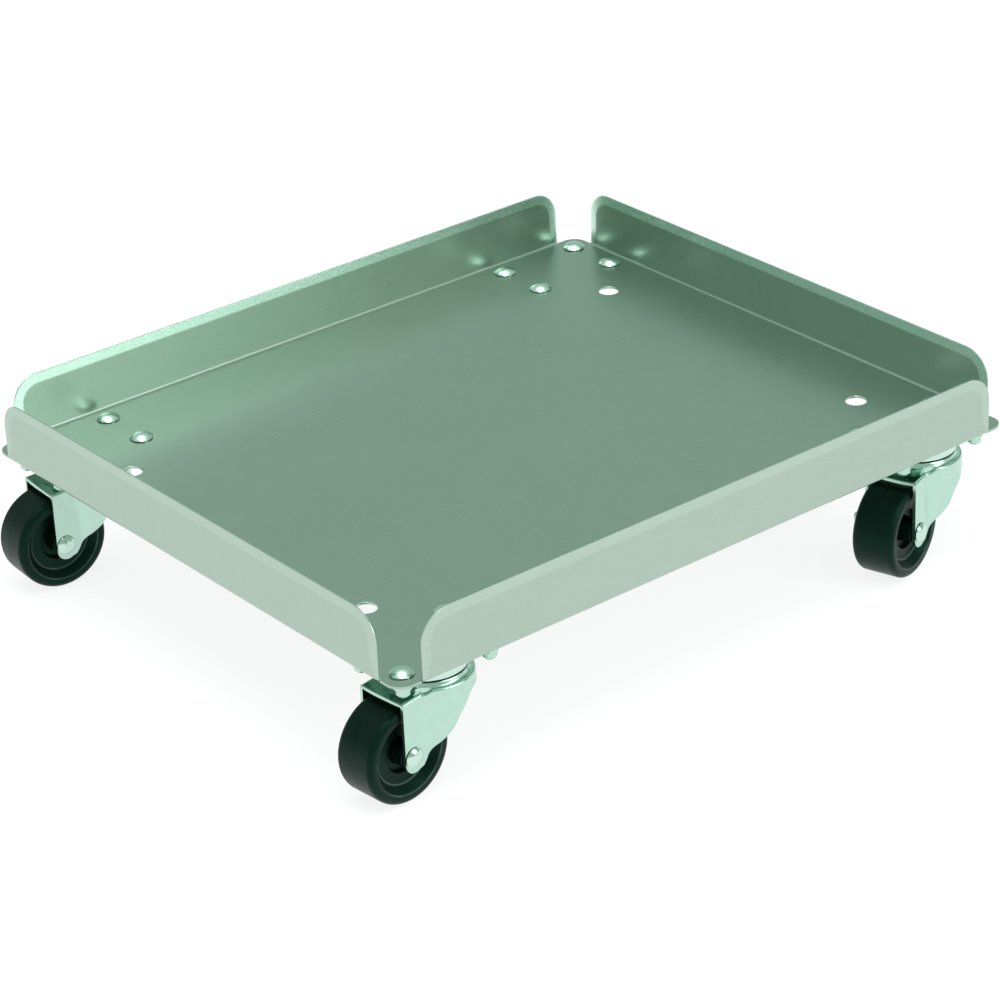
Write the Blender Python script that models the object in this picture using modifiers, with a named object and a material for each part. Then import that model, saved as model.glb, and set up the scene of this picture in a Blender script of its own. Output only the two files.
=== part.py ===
"""Drum dolly: a folded sheet-metal tray carried on four swivel casters.

Lengths are in metres and +Z is up.  The origin is on the ground, under the middle of the
dolly's bounding box.  +X runs along the tray's long side and -Y is the front.
"""
import math

import bmesh
import bpy
from mathutils import Matrix, Vector

# Tray, measured between the inner faces of its flanges.
TRAY_LENGTH = 0.600
TRAY_WIDTH = 0.517
SHEET = 0.002
DECK_TOP = 0.1081
FLANGE_HEIGHT = 0.0507
FLANGE_SETBACK = 0.0207
FLANGE_CORNER_RADIUS = 0.0234
BEND_RADIUS = 0.002
DECK_CORNER_RADIUS = 0.0129
DRAIN_HOLE_RADIUS = 0.00855
DRAIN_HOLE_FROM_SIDE = 0.109
DRAIN_HOLE_STEPS = 16

# Caster plate and its four bolts.
PLATE_FROM_END = 0.0556
PLATE_FROM_SIDE = 0.0411
BOLT_SPACING_X = 0.0778
BOLT_SPACING_Y = 0.0475
PLATE_LENGTH = 0.095
PLATE_WIDTH = 0.066
PLATE_CORNER_RADIUS = 0.008
PLATE_THICKNESS = 0.003
BOLT_RADIUS = 0.0039
BOLT_HOLE_RADIUS = 0.0045
BOLT_HEAD_RADIUS = 0.0093
BOLT_HEAD_HEIGHT = 0.0045
BOLT_END = 0.0899
DOME_SHOULDER = (0.62, 0.80)
DOME_EDGE_RISE = 0.20
NUT_RADIUS = 0.0073
NUT_HEX_HEIGHT = 0.0062
NUT_COLLAR_RADIUS = 0.0056
NUT_COLLAR_HEIGHT = 0.0047

# Swivel, in heights above the ground.
RACE_TOP = 0.0967
RACE_CUP_BOTTOM = 0.0934
RACE_CUP_RADIUS = 0.0307
RACE_CUP_WALL = 0.0025
RACE_CUP_FILLET = 0.0020
RACE_FLOOR = 0.0899
YOKE_LIP_TOP = 0.0924
BALL_RADIUS = 0.003
BALL_CIRCLE_RADIUS = 0.0235
BALL_COUNT = 8
KINGPIN_RADIUS = 0.0057
KINGPIN_HOLE_RADIUS = 0.0060
KINGPIN_HEAD_RADIUS = 0.0095
KINGPIN_HEAD_HEIGHT = 0.0028

# Yoke and wheel.
YOKE_SHEET = 0.0025
YOKE_HALF_WIDTH = 0.0222
YOKE_REAR = 0.0435
YOKE_CREASE = 0.0225
YOKE_FLARE = ((0.0130, 0.0280), (0.0030, 0.0328))
YOKE_THROAT = ((-0.0155, 0.0779), (-0.0090, 0.0759), (-0.0045, 0.0699), (0.0002, 0.0627), (0.0060, 0.0517),
               (0.0130, 0.0449), (0.0180, 0.0409), (0.0213, 0.0369), (0.0238, 0.0319))
YOKE_SKIRT_RADIUS = 0.0360
YOKE_SKIRT_BOTTOM = 0.0779
YOKE_WEB_TOP = 0.0844
YOKE_LEG_BOTTOM = 0.0259
YOKE_LEG_END_RADIUS = 0.0085
TRAIL = 0.0355
WHEEL_RADIUS = 0.0385
WHEEL_HALF_WIDTH = 0.0180
WHEEL_SHOULDER = 0.0045
WHEEL_BORE_RADIUS = 0.0044
WHEEL_DISH_RADIUS = 0.0312
WHEEL_DISC_RADIUS = 0.0252
WHEEL_DISC_DEPTH = 0.0074
HUB_RECESS_RADIUS = 0.0162
HUB_RECESS_DEPTH = 0.0114
HUB_RADIUS = 0.0095
HUB_HALF_WIDTH = 0.0186
AXLE_RADIUS = 0.0040
AXLE_HOLE_RADIUS = 0.0043
AXLE_HEAD_RADIUS = 0.0078
AXLE_HEAD_HEIGHT = 0.0032
AXLE_NUT_RADIUS = 0.0073
AXLE_NUT_HEIGHT = 0.0075
AXLE_THREAD_END = 0.0330

# Small gap kept between pieces that touch.
GAP = 0.0003

# Sides given to small round pieces, to the races and to the wheels.
SMALL_STEPS = 10
RACE_STEPS = 20
WHEEL_STEPS = 28

# Where each caster trails, in degrees from +X about +Z, at rest.
CASTERS = {
    "front_left": (-1, -1, -175.0),
    "front_right": (1, -1, -163.2),
    "rear_left": (-1, 1, 176.0),
    "rear_right": (1, 1, -170.0),
}

DECK_BOTTOM = DECK_TOP - SHEET
PLATE_TOP = DECK_BOTTOM - GAP
PLATE_BOTTOM = PLATE_TOP - PLATE_THICKNESS
NUT_TOP = PLATE_BOTTOM - GAP


def trailing_reach(trail_deg):
    """Distance from a swivel axis to its wheel's far side, measured toward -X."""
    angle = math.radians(trail_deg)
    centre = -TRAIL * math.cos(angle)
    rim = WHEEL_RADIUS * abs(math.cos(angle))
    side = (WHEEL_HALF_WIDTH - WHEEL_SHOULDER) * abs(math.sin(angle))
    return centre + rim + side


def tray_offset():
    """The casters trail past the tray's -X end, so the tray sits off centre in the box."""
    swivel = TRAY_LENGTH / 2 - PLATE_FROM_END
    reach = max(trailing_reach(CASTERS["front_left"][2]), trailing_reach(CASTERS["rear_left"][2]))
    overhang = swivel + reach - TRAY_LENGTH / 2 - SHEET
    return overhang / 2


TRAY_X = tray_offset()


# ---------------------------------------------------------------- scene and materials

def clear_scene():
    for obj in list(bpy.data.objects):
        bpy.data.objects.remove(obj, do_unlink=True)


def make_collection(name):
    collection = bpy.data.collections.new(name)
    bpy.context.scene.collection.children.link(collection)
    return collection


def make_material(name, colour, roughness, metallic):
    material = bpy.data.materials.new(name)
    material.use_nodes = True
    shader = material.node_tree.nodes["Principled BSDF"]
    shader.inputs["Base Color"].default_value = (*colour, 1.0)
    shader.inputs["Roughness"].default_value = roughness
    shader.inputs["Metallic"].default_value = metallic
    material.diffuse_color = (*colour, 1.0)
    return material


def place(name, mesh, material, location=(0, 0, 0), turn=0.0, parent=None):
    """Put a mesh in the dolly's collection under the name of its piece."""
    mesh.materials.clear()
    mesh.materials.append(material)
    obj = bpy.data.objects.new(name, mesh)
    obj.location = location
    obj.rotation_euler.z = turn
    obj.parent = parent
    bpy.data.collections["drum_dolly"].objects.link(obj)
    return obj


# ---------------------------------------------------------------- modelling tools

def arc(centre, radius, start_deg, end_deg, steps):
    """Points on an arc, both ends included."""
    points = []
    for i in range(steps + 1):
        angle = math.radians(start_deg + (end_deg - start_deg) * i / steps)
        x = centre[0] + radius * math.cos(angle)
        y = centre[1] + radius * math.sin(angle)
        points.append((x, y))
    return points


def rounded_rectangle(length, width, radius, steps=5):
    x = length / 2 - radius
    y = width / 2 - radius
    points = arc((x, y), radius, 0, 90, steps)
    points += arc((-x, y), radius, 90, 180, steps)
    points += arc((-x, -y), radius, 180, 270, steps)
    points += arc((x, -y), radius, 270, 360, steps)
    return points


def scratch_object(mesh):
    obj = bpy.data.objects.new("work", mesh)
    bpy.context.scene.collection.objects.link(obj)
    return obj


def baked(obj):
    """The object's evaluated mesh; the object itself is removed."""
    depsgraph = bpy.context.evaluated_depsgraph_get()
    mesh = bpy.data.meshes.new_from_object(obj.evaluated_get(depsgraph))
    bpy.data.objects.remove(obj, do_unlink=True)
    return mesh


def prism(outline, low, high, holes=()):
    """A flat outline with holes, standing from height low to height high."""
    curve = bpy.data.curves.new("outline", "CURVE")
    curve.dimensions = "2D"
    curve.fill_mode = "BOTH"
    curve.extrude = (high - low) / 2
    for loop in (outline, *holes):
        spline = curve.splines.new("POLY")
        spline.points.add(len(loop) - 1)
        for point, (x, y) in zip(spline.points, loop):
            point.co = (x, y, 0, 1)
        spline.use_cyclic_u = True
    mesh = baked(scratch_object(curve))
    form = bmesh.new()
    form.from_mesh(mesh)
    bmesh.ops.remove_doubles(form, verts=form.verts, dist=1e-6)
    bmesh.ops.translate(form, verts=form.verts, vec=(0, 0, (high + low) / 2))
    bmesh.ops.recalc_face_normals(form, faces=form.faces)
    form.to_mesh(mesh)
    form.free()
    return mesh


def side_prism(outline, half_width):
    """An outline drawn in X and Z, standing half_width to each side of the XZ plane."""
    mesh = prism(outline, -half_width, half_width)
    mesh.transform(Matrix.Rotation(math.radians(90), 4, "X"))
    return mesh


def turned(profile, steps, closed=True):
    """A (radius, height) profile turned about Z.  It runs down its outer side."""
    mesh = bpy.data.meshes.new("turned")
    edges = [(i, i + 1) for i in range(len(profile) - 1)]
    if closed:
        edges.append((len(profile) - 1, 0))
    mesh.from_pydata([(r, 0, z) for r, z in profile], edges, [])
    obj = scratch_object(mesh)
    screw = obj.modifiers.new("turn", "SCREW")
    screw.steps = steps
    screw.render_steps = steps
    screw.use_merge_vertices = True
    screw.merge_threshold = 1e-6
    screw.use_smooth_shade = False
    return baked(obj)


def combined(base, *operations):
    """Apply Boolean operations, given as (operation, mesh) pairs, to a base mesh."""
    obj = scratch_object(base)
    others = []
    for operation, mesh in operations:
        other = scratch_object(mesh)
        boolean = obj.modifiers.new(operation.lower(), "BOOLEAN")
        boolean.operation = operation
        boolean.object = other
        others.append(other)
    mesh = baked(obj)
    for other in others:
        bpy.data.objects.remove(other, do_unlink=True)
    return mesh


def cylinder(radius, low, high, steps, x=0.0, y=0.0):
    """A round bar along Z."""
    mesh = bpy.data.meshes.new("cylinder")
    form = bmesh.new()
    centre = Matrix.Translation((x, y, (low + high) / 2))
    bmesh.ops.create_cone(form, cap_ends=True, segments=steps, radius1=radius,
                          radius2=radius, depth=high - low, matrix=centre)
    form.to_mesh(mesh)
    form.free()
    return mesh


def shade_round(mesh, angle_deg=35):
    mesh.shade_smooth()
    mesh.set_sharp_from_angle(angle=math.radians(angle_deg))
    return mesh


def lay_along_y(mesh):
    """Tip a mesh over so that its +Z end points along +Y."""
    mesh.transform(Matrix.Rotation(math.radians(-90), 4, "X"))
    return mesh


def hexagon(radius):
    return [(radius * math.cos(a), radius * math.sin(a)) for a in (math.radians(60 * i) for i in range(6))]


def dome(radius, height, seat):
    """Profile of a low domed head standing on a seat, from its crown out and down to its edge."""
    return [(0, seat + height), (radius * DOME_SHOULDER[0], seat + height * DOME_SHOULDER[1]),
            (radius, seat + height * DOME_EDGE_RISE)]


# ---------------------------------------------------------------- tray

def flange_frame(side):
    """Outward direction, run direction, and half sizes of one side of the tray."""
    angle = side * math.pi / 2
    outward = Vector((round(math.cos(angle)), round(math.sin(angle)), 0))
    along = Vector((-outward.y, outward.x, 0))
    half_out = (TRAY_LENGTH if side % 2 == 0 else TRAY_WIDTH) / 2
    half_run = (TRAY_WIDTH if side % 2 == 0 else TRAY_LENGTH) / 2
    return outward, along, half_out, half_run


def add_flange(form, side, start, end):
    """Fold one flange up from the floor's edge between two vertices."""
    outward, along, half_out, half_run = flange_frame(side)
    centre = outward * (half_out - BEND_RADIUS)
    half = half_run - FLANGE_SETBACK
    row = [start, end]
    for step in range(1, 4):
        angle = math.radians(90 * step / 3)
        out = BEND_RADIUS * math.sin(angle)
        up = DECK_TOP + BEND_RADIUS * (1 - math.cos(angle))
        base = centre + outward * out + Vector((0, 0, up))
        new_row = [form.verts.new(base - along * half), form.verts.new(base + along * half)]
        form.faces.new((row[0], row[1], new_row[1], new_row[0]))
        row = new_row
    top = DECK_TOP + FLANGE_HEIGHT - FLANGE_CORNER_RADIUS
    reach = half - FLANGE_CORNER_RADIUS
    outline = arc((reach, top), FLANGE_CORNER_RADIUS, 0, 90, 6)
    outline += arc((-reach, top), FLANGE_CORNER_RADIUS, 90, 180, 6)
    face = outward * half_out
    corners = [form.verts.new(face + along * run + Vector((0, 0, up))) for run, up in outline]
    form.faces.new((row[0], row[1], *corners))


def tray_surface():
    """The tray's inner surface: a floor with rounded corners and four folded flanges."""
    form = bmesh.new()
    loop = []
    hinges = []
    for side in range(4):
        outward, along, half_out, half_run = flange_frame(side)
        half = half_run - FLANGE_SETBACK
        fold = outward * (half_out - BEND_RADIUS) + Vector((0, 0, DECK_TOP))
        edge = outward * half_out + Vector((0, 0, DECK_TOP))
        start = form.verts.new(fold - along * half)
        end = form.verts.new(fold + along * half)
        hinges.append((start, end))
        loop += [form.verts.new(edge - along * half), start, end, form.verts.new(edge + along * half)]
        centre = outward * (half_out - DECK_CORNER_RADIUS) + along * (half_run - DECK_CORNER_RADIUS)
        for x, y in arc((0, 0), DECK_CORNER_RADIUS, side * 90, side * 90 + 90, 6):
            loop.append(form.verts.new(centre + Vector((x, y, DECK_TOP))))
    form.faces.new(loop)
    for side, (start, end) in enumerate(hinges):
        add_flange(form, side, start, end)
    bmesh.ops.recalc_face_normals(form, faces=form.faces)
    floor = max(form.faces, key=lambda face: face.calc_area())
    if floor.normal.z < 0:
        bmesh.ops.reverse_faces(form, faces=form.faces)
    mesh = bpy.data.meshes.new("tray")
    form.to_mesh(mesh)
    form.free()
    return mesh


def caster_centre(side_x, side_y):
    return (side_x * (TRAY_LENGTH / 2 - PLATE_FROM_END), side_y * (TRAY_WIDTH / 2 - PLATE_FROM_SIDE))


def bolt_places(side_x, side_y):
    """The four bolts of one caster, outermost corner first."""
    x, y = caster_centre(side_x, side_y)
    places = []
    for across, along in ((1, 1), (1, -1), (-1, 1), (-1, -1)):
        bolt_x = x + side_x * across * BOLT_SPACING_X / 2
        bolt_y = y + side_y * along * BOLT_SPACING_Y / 2
        places.append((bolt_x, bolt_y))
    return places


def hole_cutter():
    """All of the deck's round holes as one cutter."""
    form = bmesh.new()
    holes = []
    for side_x, side_y, _ in CASTERS.values():
        holes += [(x, y, BOLT_HOLE_RADIUS, 8) for x, y in bolt_places(side_x, side_y)]
        drain_x = side_x * (TRAY_LENGTH / 2 - PLATE_FROM_END)
        drain_y = side_y * (TRAY_WIDTH / 2 - DRAIN_HOLE_FROM_SIDE)
        holes.append((drain_x, drain_y, DRAIN_HOLE_RADIUS, DRAIN_HOLE_STEPS))
    for x, y, radius, steps in holes:
        bmesh.ops.create_cone(form, cap_ends=True, segments=steps, radius1=radius, radius2=radius,
                              depth=4 * SHEET, matrix=Matrix.Translation((x, y, DECK_TOP - SHEET / 2)))
    mesh = bpy.data.meshes.new("deck_holes")
    form.to_mesh(mesh)
    form.free()
    return mesh


def add_tray(material):
    tray = place("tray", tray_surface(), material, location=(TRAY_X, 0, 0))
    sheet = tray.modifiers.new("sheet", "SOLIDIFY")
    sheet.thickness = SHEET
    sheet.offset = -1
    sheet.use_even_offset = True
    cutter = bpy.data.objects.new("deck_hole_cutter", hole_cutter())
    cutter.location = tray.location
    cutter.hide_render = True
    cutter.display_type = "WIRE"
    bpy.data.collections["cutters"].objects.link(cutter)
    holes = tray.modifiers.new("holes", "BOOLEAN")
    holes.operation = "DIFFERENCE"
    holes.object = cutter


# ---------------------------------------------------------------- fasteners

def bolt_mesh():
    """Domed carriage bolt, head up, with its origin on the deck."""
    shank_end = BOLT_END - DECK_TOP
    profile = dome(BOLT_HEAD_RADIUS, BOLT_HEAD_HEIGHT, GAP)
    profile += [(BOLT_HEAD_RADIUS - 0.0003, GAP), (BOLT_RADIUS, GAP), (BOLT_RADIUS, shank_end), (0, shank_end)]
    return shade_round(turned(profile, SMALL_STEPS, closed=False))


def nut_mesh():
    """Hexagon lock nut with a round insert collar, its origin on its seat."""
    body = prism(hexagon(NUT_RADIUS), -NUT_HEX_HEIGHT, 0)
    low = -NUT_HEX_HEIGHT - NUT_COLLAR_HEIGHT
    collar = turned([(0, -0.002), (NUT_COLLAR_RADIUS, -0.002), (NUT_COLLAR_RADIUS, low), (0, low)],
                    8, closed=False)
    bore = cylinder(BOLT_HOLE_RADIUS, low - 0.001, 0.001, 8)
    return combined(body, ("UNION", collar), ("DIFFERENCE", bore))


# ---------------------------------------------------------------- swivel

def top_plate_mesh():
    """Bolted plate with the upper ball race pressed down out of it."""
    blank = rounded_rectangle(PLATE_LENGTH, PLATE_WIDTH, PLATE_CORNER_RADIUS, 2)
    half_x = BOLT_SPACING_X / 2
    half_y = BOLT_SPACING_Y / 2
    holes = []
    for x, y in ((half_x, half_y), (-half_x, half_y), (-half_x, -half_y), (half_x, -half_y)):
        holes.append(arc((x, y), BOLT_HOLE_RADIUS, 0, 315, 7))
    plate = prism(blank, PLATE_BOTTOM, PLATE_TOP, holes)
    rim = RACE_CUP_RADIUS
    inner = rim - RACE_CUP_WALL
    cup = [(0, PLATE_TOP - 0.001), (rim + RACE_CUP_FILLET, PLATE_TOP - 0.001),
           (rim + RACE_CUP_FILLET, PLATE_BOTTOM - 0.0015), (rim, RACE_CUP_BOTTOM), (inner, RACE_CUP_BOTTOM),
           (inner - 0.001, RACE_TOP), (0, RACE_TOP)]
    recess_floor = RACE_TOP + PLATE_THICKNESS
    recess = [(0, PLATE_TOP + 0.001), (rim - 0.001, PLATE_TOP + 0.001), (rim - 0.001, PLATE_TOP - 0.0012),
              (rim - 0.0045, recess_floor), (0, recess_floor)]
    bore = cylinder(KINGPIN_HOLE_RADIUS, RACE_TOP - 0.01, PLATE_TOP + 0.01, SMALL_STEPS)
    return combined(plate, ("UNION", turned(cup, RACE_STEPS, closed=False)),
                    ("DIFFERENCE", turned(recess, RACE_STEPS, closed=False)), ("DIFFERENCE", bore))


def ball_ring_mesh():
    """A full set of race balls held in a flat cage ring."""
    middle = (RACE_TOP + RACE_FLOOR) / 2
    half = BALL_RADIUS * 0.30
    width = BALL_RADIUS * 0.55
    ring = turned([(BALL_CIRCLE_RADIUS + width, middle + half), (BALL_CIRCLE_RADIUS + width, middle - half),
                   (BALL_CIRCLE_RADIUS - width, middle - half), (BALL_CIRCLE_RADIUS - width, middle + half)],
                  16)
    form = bmesh.new()
    for i in range(BALL_COUNT):
        angle = 2 * math.pi * (i + 0.5) / BALL_COUNT
        centre = (BALL_CIRCLE_RADIUS * math.cos(angle), BALL_CIRCLE_RADIUS * math.sin(angle), middle)
        bmesh.ops.create_uvsphere(form, u_segments=6, v_segments=3, radius=BALL_RADIUS,
                                  matrix=Matrix.Translation(centre))
    balls = bpy.data.meshes.new("balls")
    form.to_mesh(balls)
    form.free()
    return combined(ring, ("UNION", balls))


def kingpin_mesh():
    """Rivet that ties the yoke to the top plate, headed at both ends."""
    low = RACE_FLOOR - YOKE_SHEET - GAP
    high = RACE_TOP + PLATE_THICKNESS + GAP
    head = KINGPIN_HEAD_RADIUS
    profile = [(0, high + KINGPIN_HEAD_HEIGHT), (head * 0.6, high + KINGPIN_HEAD_HEIGHT),
               (head, high), (KINGPIN_RADIUS, high), (KINGPIN_RADIUS, low), (head, low),
               (head * 0.6, low - KINGPIN_HEAD_HEIGHT), (0, low - KINGPIN_HEAD_HEIGHT)]
    return shade_round(turned(profile, SMALL_STEPS, closed=False))


# ---------------------------------------------------------------- yoke, axle and wheel

def yoke_plan(inset):
    """Plan of the fork's walls: parallel behind a crease, flared out to the round skirt in front."""
    half = YOKE_HALF_WIDTH - inset
    radius = YOKE_SKIRT_RADIUS - inset
    side = [(YOKE_REAR + 0.005, half), (YOKE_CREASE, half)]
    side += [(x - inset * 0.35, y - inset * 0.93) for x, y in YOKE_FLARE]
    skirt = arc((0, 0), radius, 100, 260, 8)
    return side + skirt + [(x, -y) for x, y in reversed(side)]


def yoke_side_outline():
    """The fork's side view: X toward the wheel, Z up."""
    axle_x = YOKE_REAR - YOKE_LEG_END_RADIUS
    low = YOKE_LEG_BOTTOM + YOKE_LEG_END_RADIUS
    above = YOKE_LIP_TOP + 0.001
    front = -YOKE_SKIRT_RADIUS - 0.004
    outline = [(YOKE_REAR, above), (front, above), (front, YOKE_SKIRT_BOTTOM), *YOKE_THROAT]
    outline += arc((axle_x - 0.0015, low), YOKE_LEG_END_RADIUS, 225, 270, 1)
    outline += arc((axle_x, low), YOKE_LEG_END_RADIUS, 290, 360, 3)
    return outline


def yoke_shell():
    """The fork's outer form less its cavity, before its side view is trimmed."""
    dish = [(0, YOKE_LIP_TOP), (0.0312, YOKE_LIP_TOP), (0.0332, 0.0889), (0.0348, 0.0869),
            (0.0358, YOKE_WEB_TOP - 0.0004), (0, YOKE_WEB_TOP - 0.0004)]
    walls = prism(yoke_plan(0.0), 0.020, YOKE_WEB_TOP)
    under_race = RACE_FLOOR - YOKE_SHEET
    hollow = turned([(0, under_race), (0.0290, under_race), (0.0315, 0.0799), (0, 0.0799)], RACE_STEPS,
                    closed=False)
    channel = prism(yoke_plan(YOKE_SHEET), 0.010, YOKE_WEB_TOP - YOKE_SHEET)
    cavity = combined(channel, ("UNION", hollow))
    outer = combined(walls, ("UNION", turned(dish, RACE_STEPS, closed=False)))
    return combined(outer, ("DIFFERENCE", cavity))


def yoke_mesh():
    """Pressed fork: dished race on top, skirt round the front and two legs to the axle."""
    above = YOKE_LIP_TOP + 0.002
    race = turned([(0, above), (0.0285, above), (0.0285, YOKE_LIP_TOP - 0.0006),
                   (0.0272, RACE_FLOOR), (0, RACE_FLOOR)], RACE_STEPS, closed=False)
    kingpin_hole = cylinder(KINGPIN_HOLE_RADIUS, 0.080, 0.100, SMALL_STEPS)
    axle_hole = lay_along_y(cylinder(AXLE_HOLE_RADIUS, -0.03, 0.03, SMALL_STEPS))
    axle_hole.transform(Matrix.Translation((TRAIL, 0, WHEEL_RADIUS)))
    shell = combined(yoke_shell(), ("INTERSECT", side_prism(yoke_side_outline(), 0.05)),
                     ("DIFFERENCE", race), ("DIFFERENCE", kingpin_hole), ("DIFFERENCE", axle_hole))
    return shade_round(shell, 30)


def axle_mesh():
    """Axle bolt with a domed head outside one leg, and a nut and a thread end outside the other."""
    seat = YOKE_HALF_WIDTH + GAP
    profile = dome(AXLE_HEAD_RADIUS, AXLE_HEAD_HEIGHT, seat)
    profile += [(AXLE_HEAD_RADIUS, seat), (AXLE_RADIUS, seat), (AXLE_RADIUS, -AXLE_THREAD_END),
                (0, -AXLE_THREAD_END)]
    bolt = turned(profile, SMALL_STEPS, closed=False)
    nut = prism(hexagon(AXLE_NUT_RADIUS), -seat - AXLE_NUT_HEIGHT, -seat)
    return shade_round(lay_along_y(combined(bolt, ("UNION", nut))))


def wheel_mesh():
    """Solid moulded wheel: rounded shoulders, faces dished in two steps, and a bored hub."""
    half = WHEEL_HALF_WIDTH
    disc = half - WHEEL_DISC_DEPTH
    recess = half - HUB_RECESS_DEPTH
    side = [(WHEEL_BORE_RADIUS, HUB_HALF_WIDTH), (HUB_RADIUS, HUB_HALF_WIDTH), (HUB_RADIUS, recess),
            (HUB_RECESS_RADIUS, recess), (HUB_RECESS_RADIUS, disc), (WHEEL_DISC_RADIUS, disc),
            (WHEEL_DISH_RADIUS, half)]
    side += arc((WHEEL_RADIUS - WHEEL_SHOULDER, half - WHEEL_SHOULDER), WHEEL_SHOULDER, 90, 0, 2)
    profile = side + [(radius, -height) for radius, height in reversed(side)]
    return shade_round(lay_along_y(turned(profile, WHEEL_STEPS)))


# ---------------------------------------------------------------- assembly

def add_fasteners(name, side_x, side_y, bolt, nut, zinc):
    for index, (x, y) in enumerate(bolt_places(side_x, side_y), start=1):
        place(f"bolt_{name}_{index}", bolt, zinc, location=(TRAY_X + x, y, DECK_TOP))
        place(f"nut_{name}_{index}", nut, zinc, location=(TRAY_X + x, y, NUT_TOP))


def add_caster(name, side_x, side_y, trail_deg, meshes, zinc, steel, plastic):
    """One caster; its yoke's origin is on the swivel axis and its wheel's on the axle."""
    x, y = caster_centre(side_x, side_y)
    swivel = (TRAY_X + x, y, 0)
    place(f"top_plate_{name}", meshes["top_plate"], zinc, location=swivel)
    place(f"kingpin_{name}", meshes["kingpin"], steel, location=swivel)
    yoke = place(f"yoke_{name}", meshes["yoke"], zinc, location=swivel, turn=math.radians(trail_deg))
    place(f"ball_ring_{name}", meshes["ball_ring"], steel, parent=yoke)
    hub = (TRAIL, 0, WHEEL_RADIUS)
    place(f"axle_{name}", meshes["axle"], zinc, location=hub, parent=yoke)
    place(f"wheel_{name}", meshes["wheel"], plastic, location=hub, parent=yoke)


def main():
    clear_scene()
    make_collection("drum_dolly")
    make_collection("cutters")
    satin = make_material("satin_steel", (0.55, 0.60, 0.57), 0.32, 1.0)
    zinc = make_material("zinc_plate", (0.72, 0.80, 0.77), 0.22, 1.0)
    steel = make_material("bearing_steel", (0.50, 0.52, 0.52), 0.25, 1.0)
    plastic = make_material("black_plastic", (0.02, 0.03, 0.027), 0.38, 0.0)
    add_tray(satin)
    bolt = bolt_mesh()
    nut = nut_mesh()
    meshes = {
        "top_plate": top_plate_mesh(),
        "kingpin": kingpin_mesh(),
        "yoke": yoke_mesh(),
        "ball_ring": ball_ring_mesh(),
        "axle": axle_mesh(),
        "wheel": wheel_mesh(),
    }
    for name, (side_x, side_y, trail_deg) in CASTERS.items():
        add_fasteners(name, side_x, side_y, bolt, nut, zinc)
        add_caster(name, side_x, side_y, trail_deg, meshes, zinc, steel, plastic)


main()
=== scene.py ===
import math

import bmesh
import bpy
from mathutils import Matrix, Vector


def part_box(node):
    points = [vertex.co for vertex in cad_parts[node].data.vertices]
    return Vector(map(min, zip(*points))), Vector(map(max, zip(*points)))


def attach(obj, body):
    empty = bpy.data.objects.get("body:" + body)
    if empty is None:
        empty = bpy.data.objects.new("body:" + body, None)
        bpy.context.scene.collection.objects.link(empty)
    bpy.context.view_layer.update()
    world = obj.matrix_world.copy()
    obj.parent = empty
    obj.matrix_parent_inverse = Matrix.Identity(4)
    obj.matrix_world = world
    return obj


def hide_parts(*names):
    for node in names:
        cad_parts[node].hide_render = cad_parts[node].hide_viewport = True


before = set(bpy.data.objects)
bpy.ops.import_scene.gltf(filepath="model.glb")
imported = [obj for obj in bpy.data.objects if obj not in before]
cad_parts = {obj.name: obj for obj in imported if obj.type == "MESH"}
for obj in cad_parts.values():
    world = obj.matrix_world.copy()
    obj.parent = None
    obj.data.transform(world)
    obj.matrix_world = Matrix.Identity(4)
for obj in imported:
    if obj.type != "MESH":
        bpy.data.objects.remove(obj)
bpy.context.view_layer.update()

# ---------------------------------------------------------------- sizes, in metres

GAP = 0.0003                       # between neighbouring pieces

# Tray
SHEET = 0.002
BEND_RADIUS = 0.002
FLANGE_SETBACK = 0.0207
FLANGE_CORNER_RADIUS = 0.0234
FLANGE_HEIGHT = 0.0507
DECK_CORNER_RADIUS = 0.0129
DRAIN_HOLE_RADIUS = 0.00855
DRAIN_HOLE_FROM_SIDE = 0.109
HOLE_CHAMFER = 0.0002
HOLE_OVERSHOOT = 0.002             # how far a hole's cutter reaches past the sheet
RIM_BAND = 0.0085                  # tapered band along a flange's free edge
RIM_TAPER = 0.00042                # what the band loses on each face
RIM_ROUND = 0.0006                 # width of the edge's rounding
RIM_ROUND_DEPTH = 0.00032
RIM_OUTER_HIGHLIGHT = 0.12              # how strongly the band's painted highlight shows on the outer face
# Distances from a flange's free edge of the rings that it is built in
RIM_RINGS = (0.0, 0.00025, 0.0007, 0.002, 0.0035, 0.005, 0.0065, 0.0075, 0.0082, 0.0090, 0.0105)
GRID_STEP = 0.0243                 # the sheet is cut up at this spacing, to have no very long faces
GRID_SHIFT = 0.0017                # keeps the cuts off the folds' own points
GRID_REACH = 11

# Bolts and nuts
BOLT_SPACING_X = 0.0778
BOLT_SPACING_Y = 0.0475
BOLT_HOLE_RADIUS = 0.0045
BOLT_HEAD_RADIUS = 0.0093
BOLT_HEAD_HEIGHT = 0.0045
BOLT_RADIUS = 0.0039
BOLT_THREAD_TOP = -0.009           # measured from the deck
NUT_RADIUS = 0.0073
NUT_COLLAR_RADIUS = 0.0056
NUT_COLLAR_HEIGHT = 0.0047
THREAD_PITCH = 0.0012
THREAD_DEPTH = 0.0006

# Top plate, race and kingpin; heights are above the ground
PLATE_LENGTH = 0.095
PLATE_WIDTH = 0.066
PLATE_THICKNESS = 0.003
PLATE_CORNER_RADIUS = 0.008
RACE_CUP_RADIUS = 0.0307
RACE_CUP_BOTTOM = 0.0934
RACE_TOP = 0.0967
RACE_FLOOR = 0.0899
BALL_RADIUS = 0.0030
BALL_CIRCLE = 0.0235
BALL_COUNT = 16
CAGE_HALF_WIDTH = 0.0016
CAGE_HALF_HEIGHT = 0.0009
KINGPIN_RADIUS = 0.0057
KINGPIN_HOLE_RADIUS = 0.0060
KINGPIN_HEAD_RADIUS = 0.0095
KINGPIN_HEAD_HEIGHT = 0.0028

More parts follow.
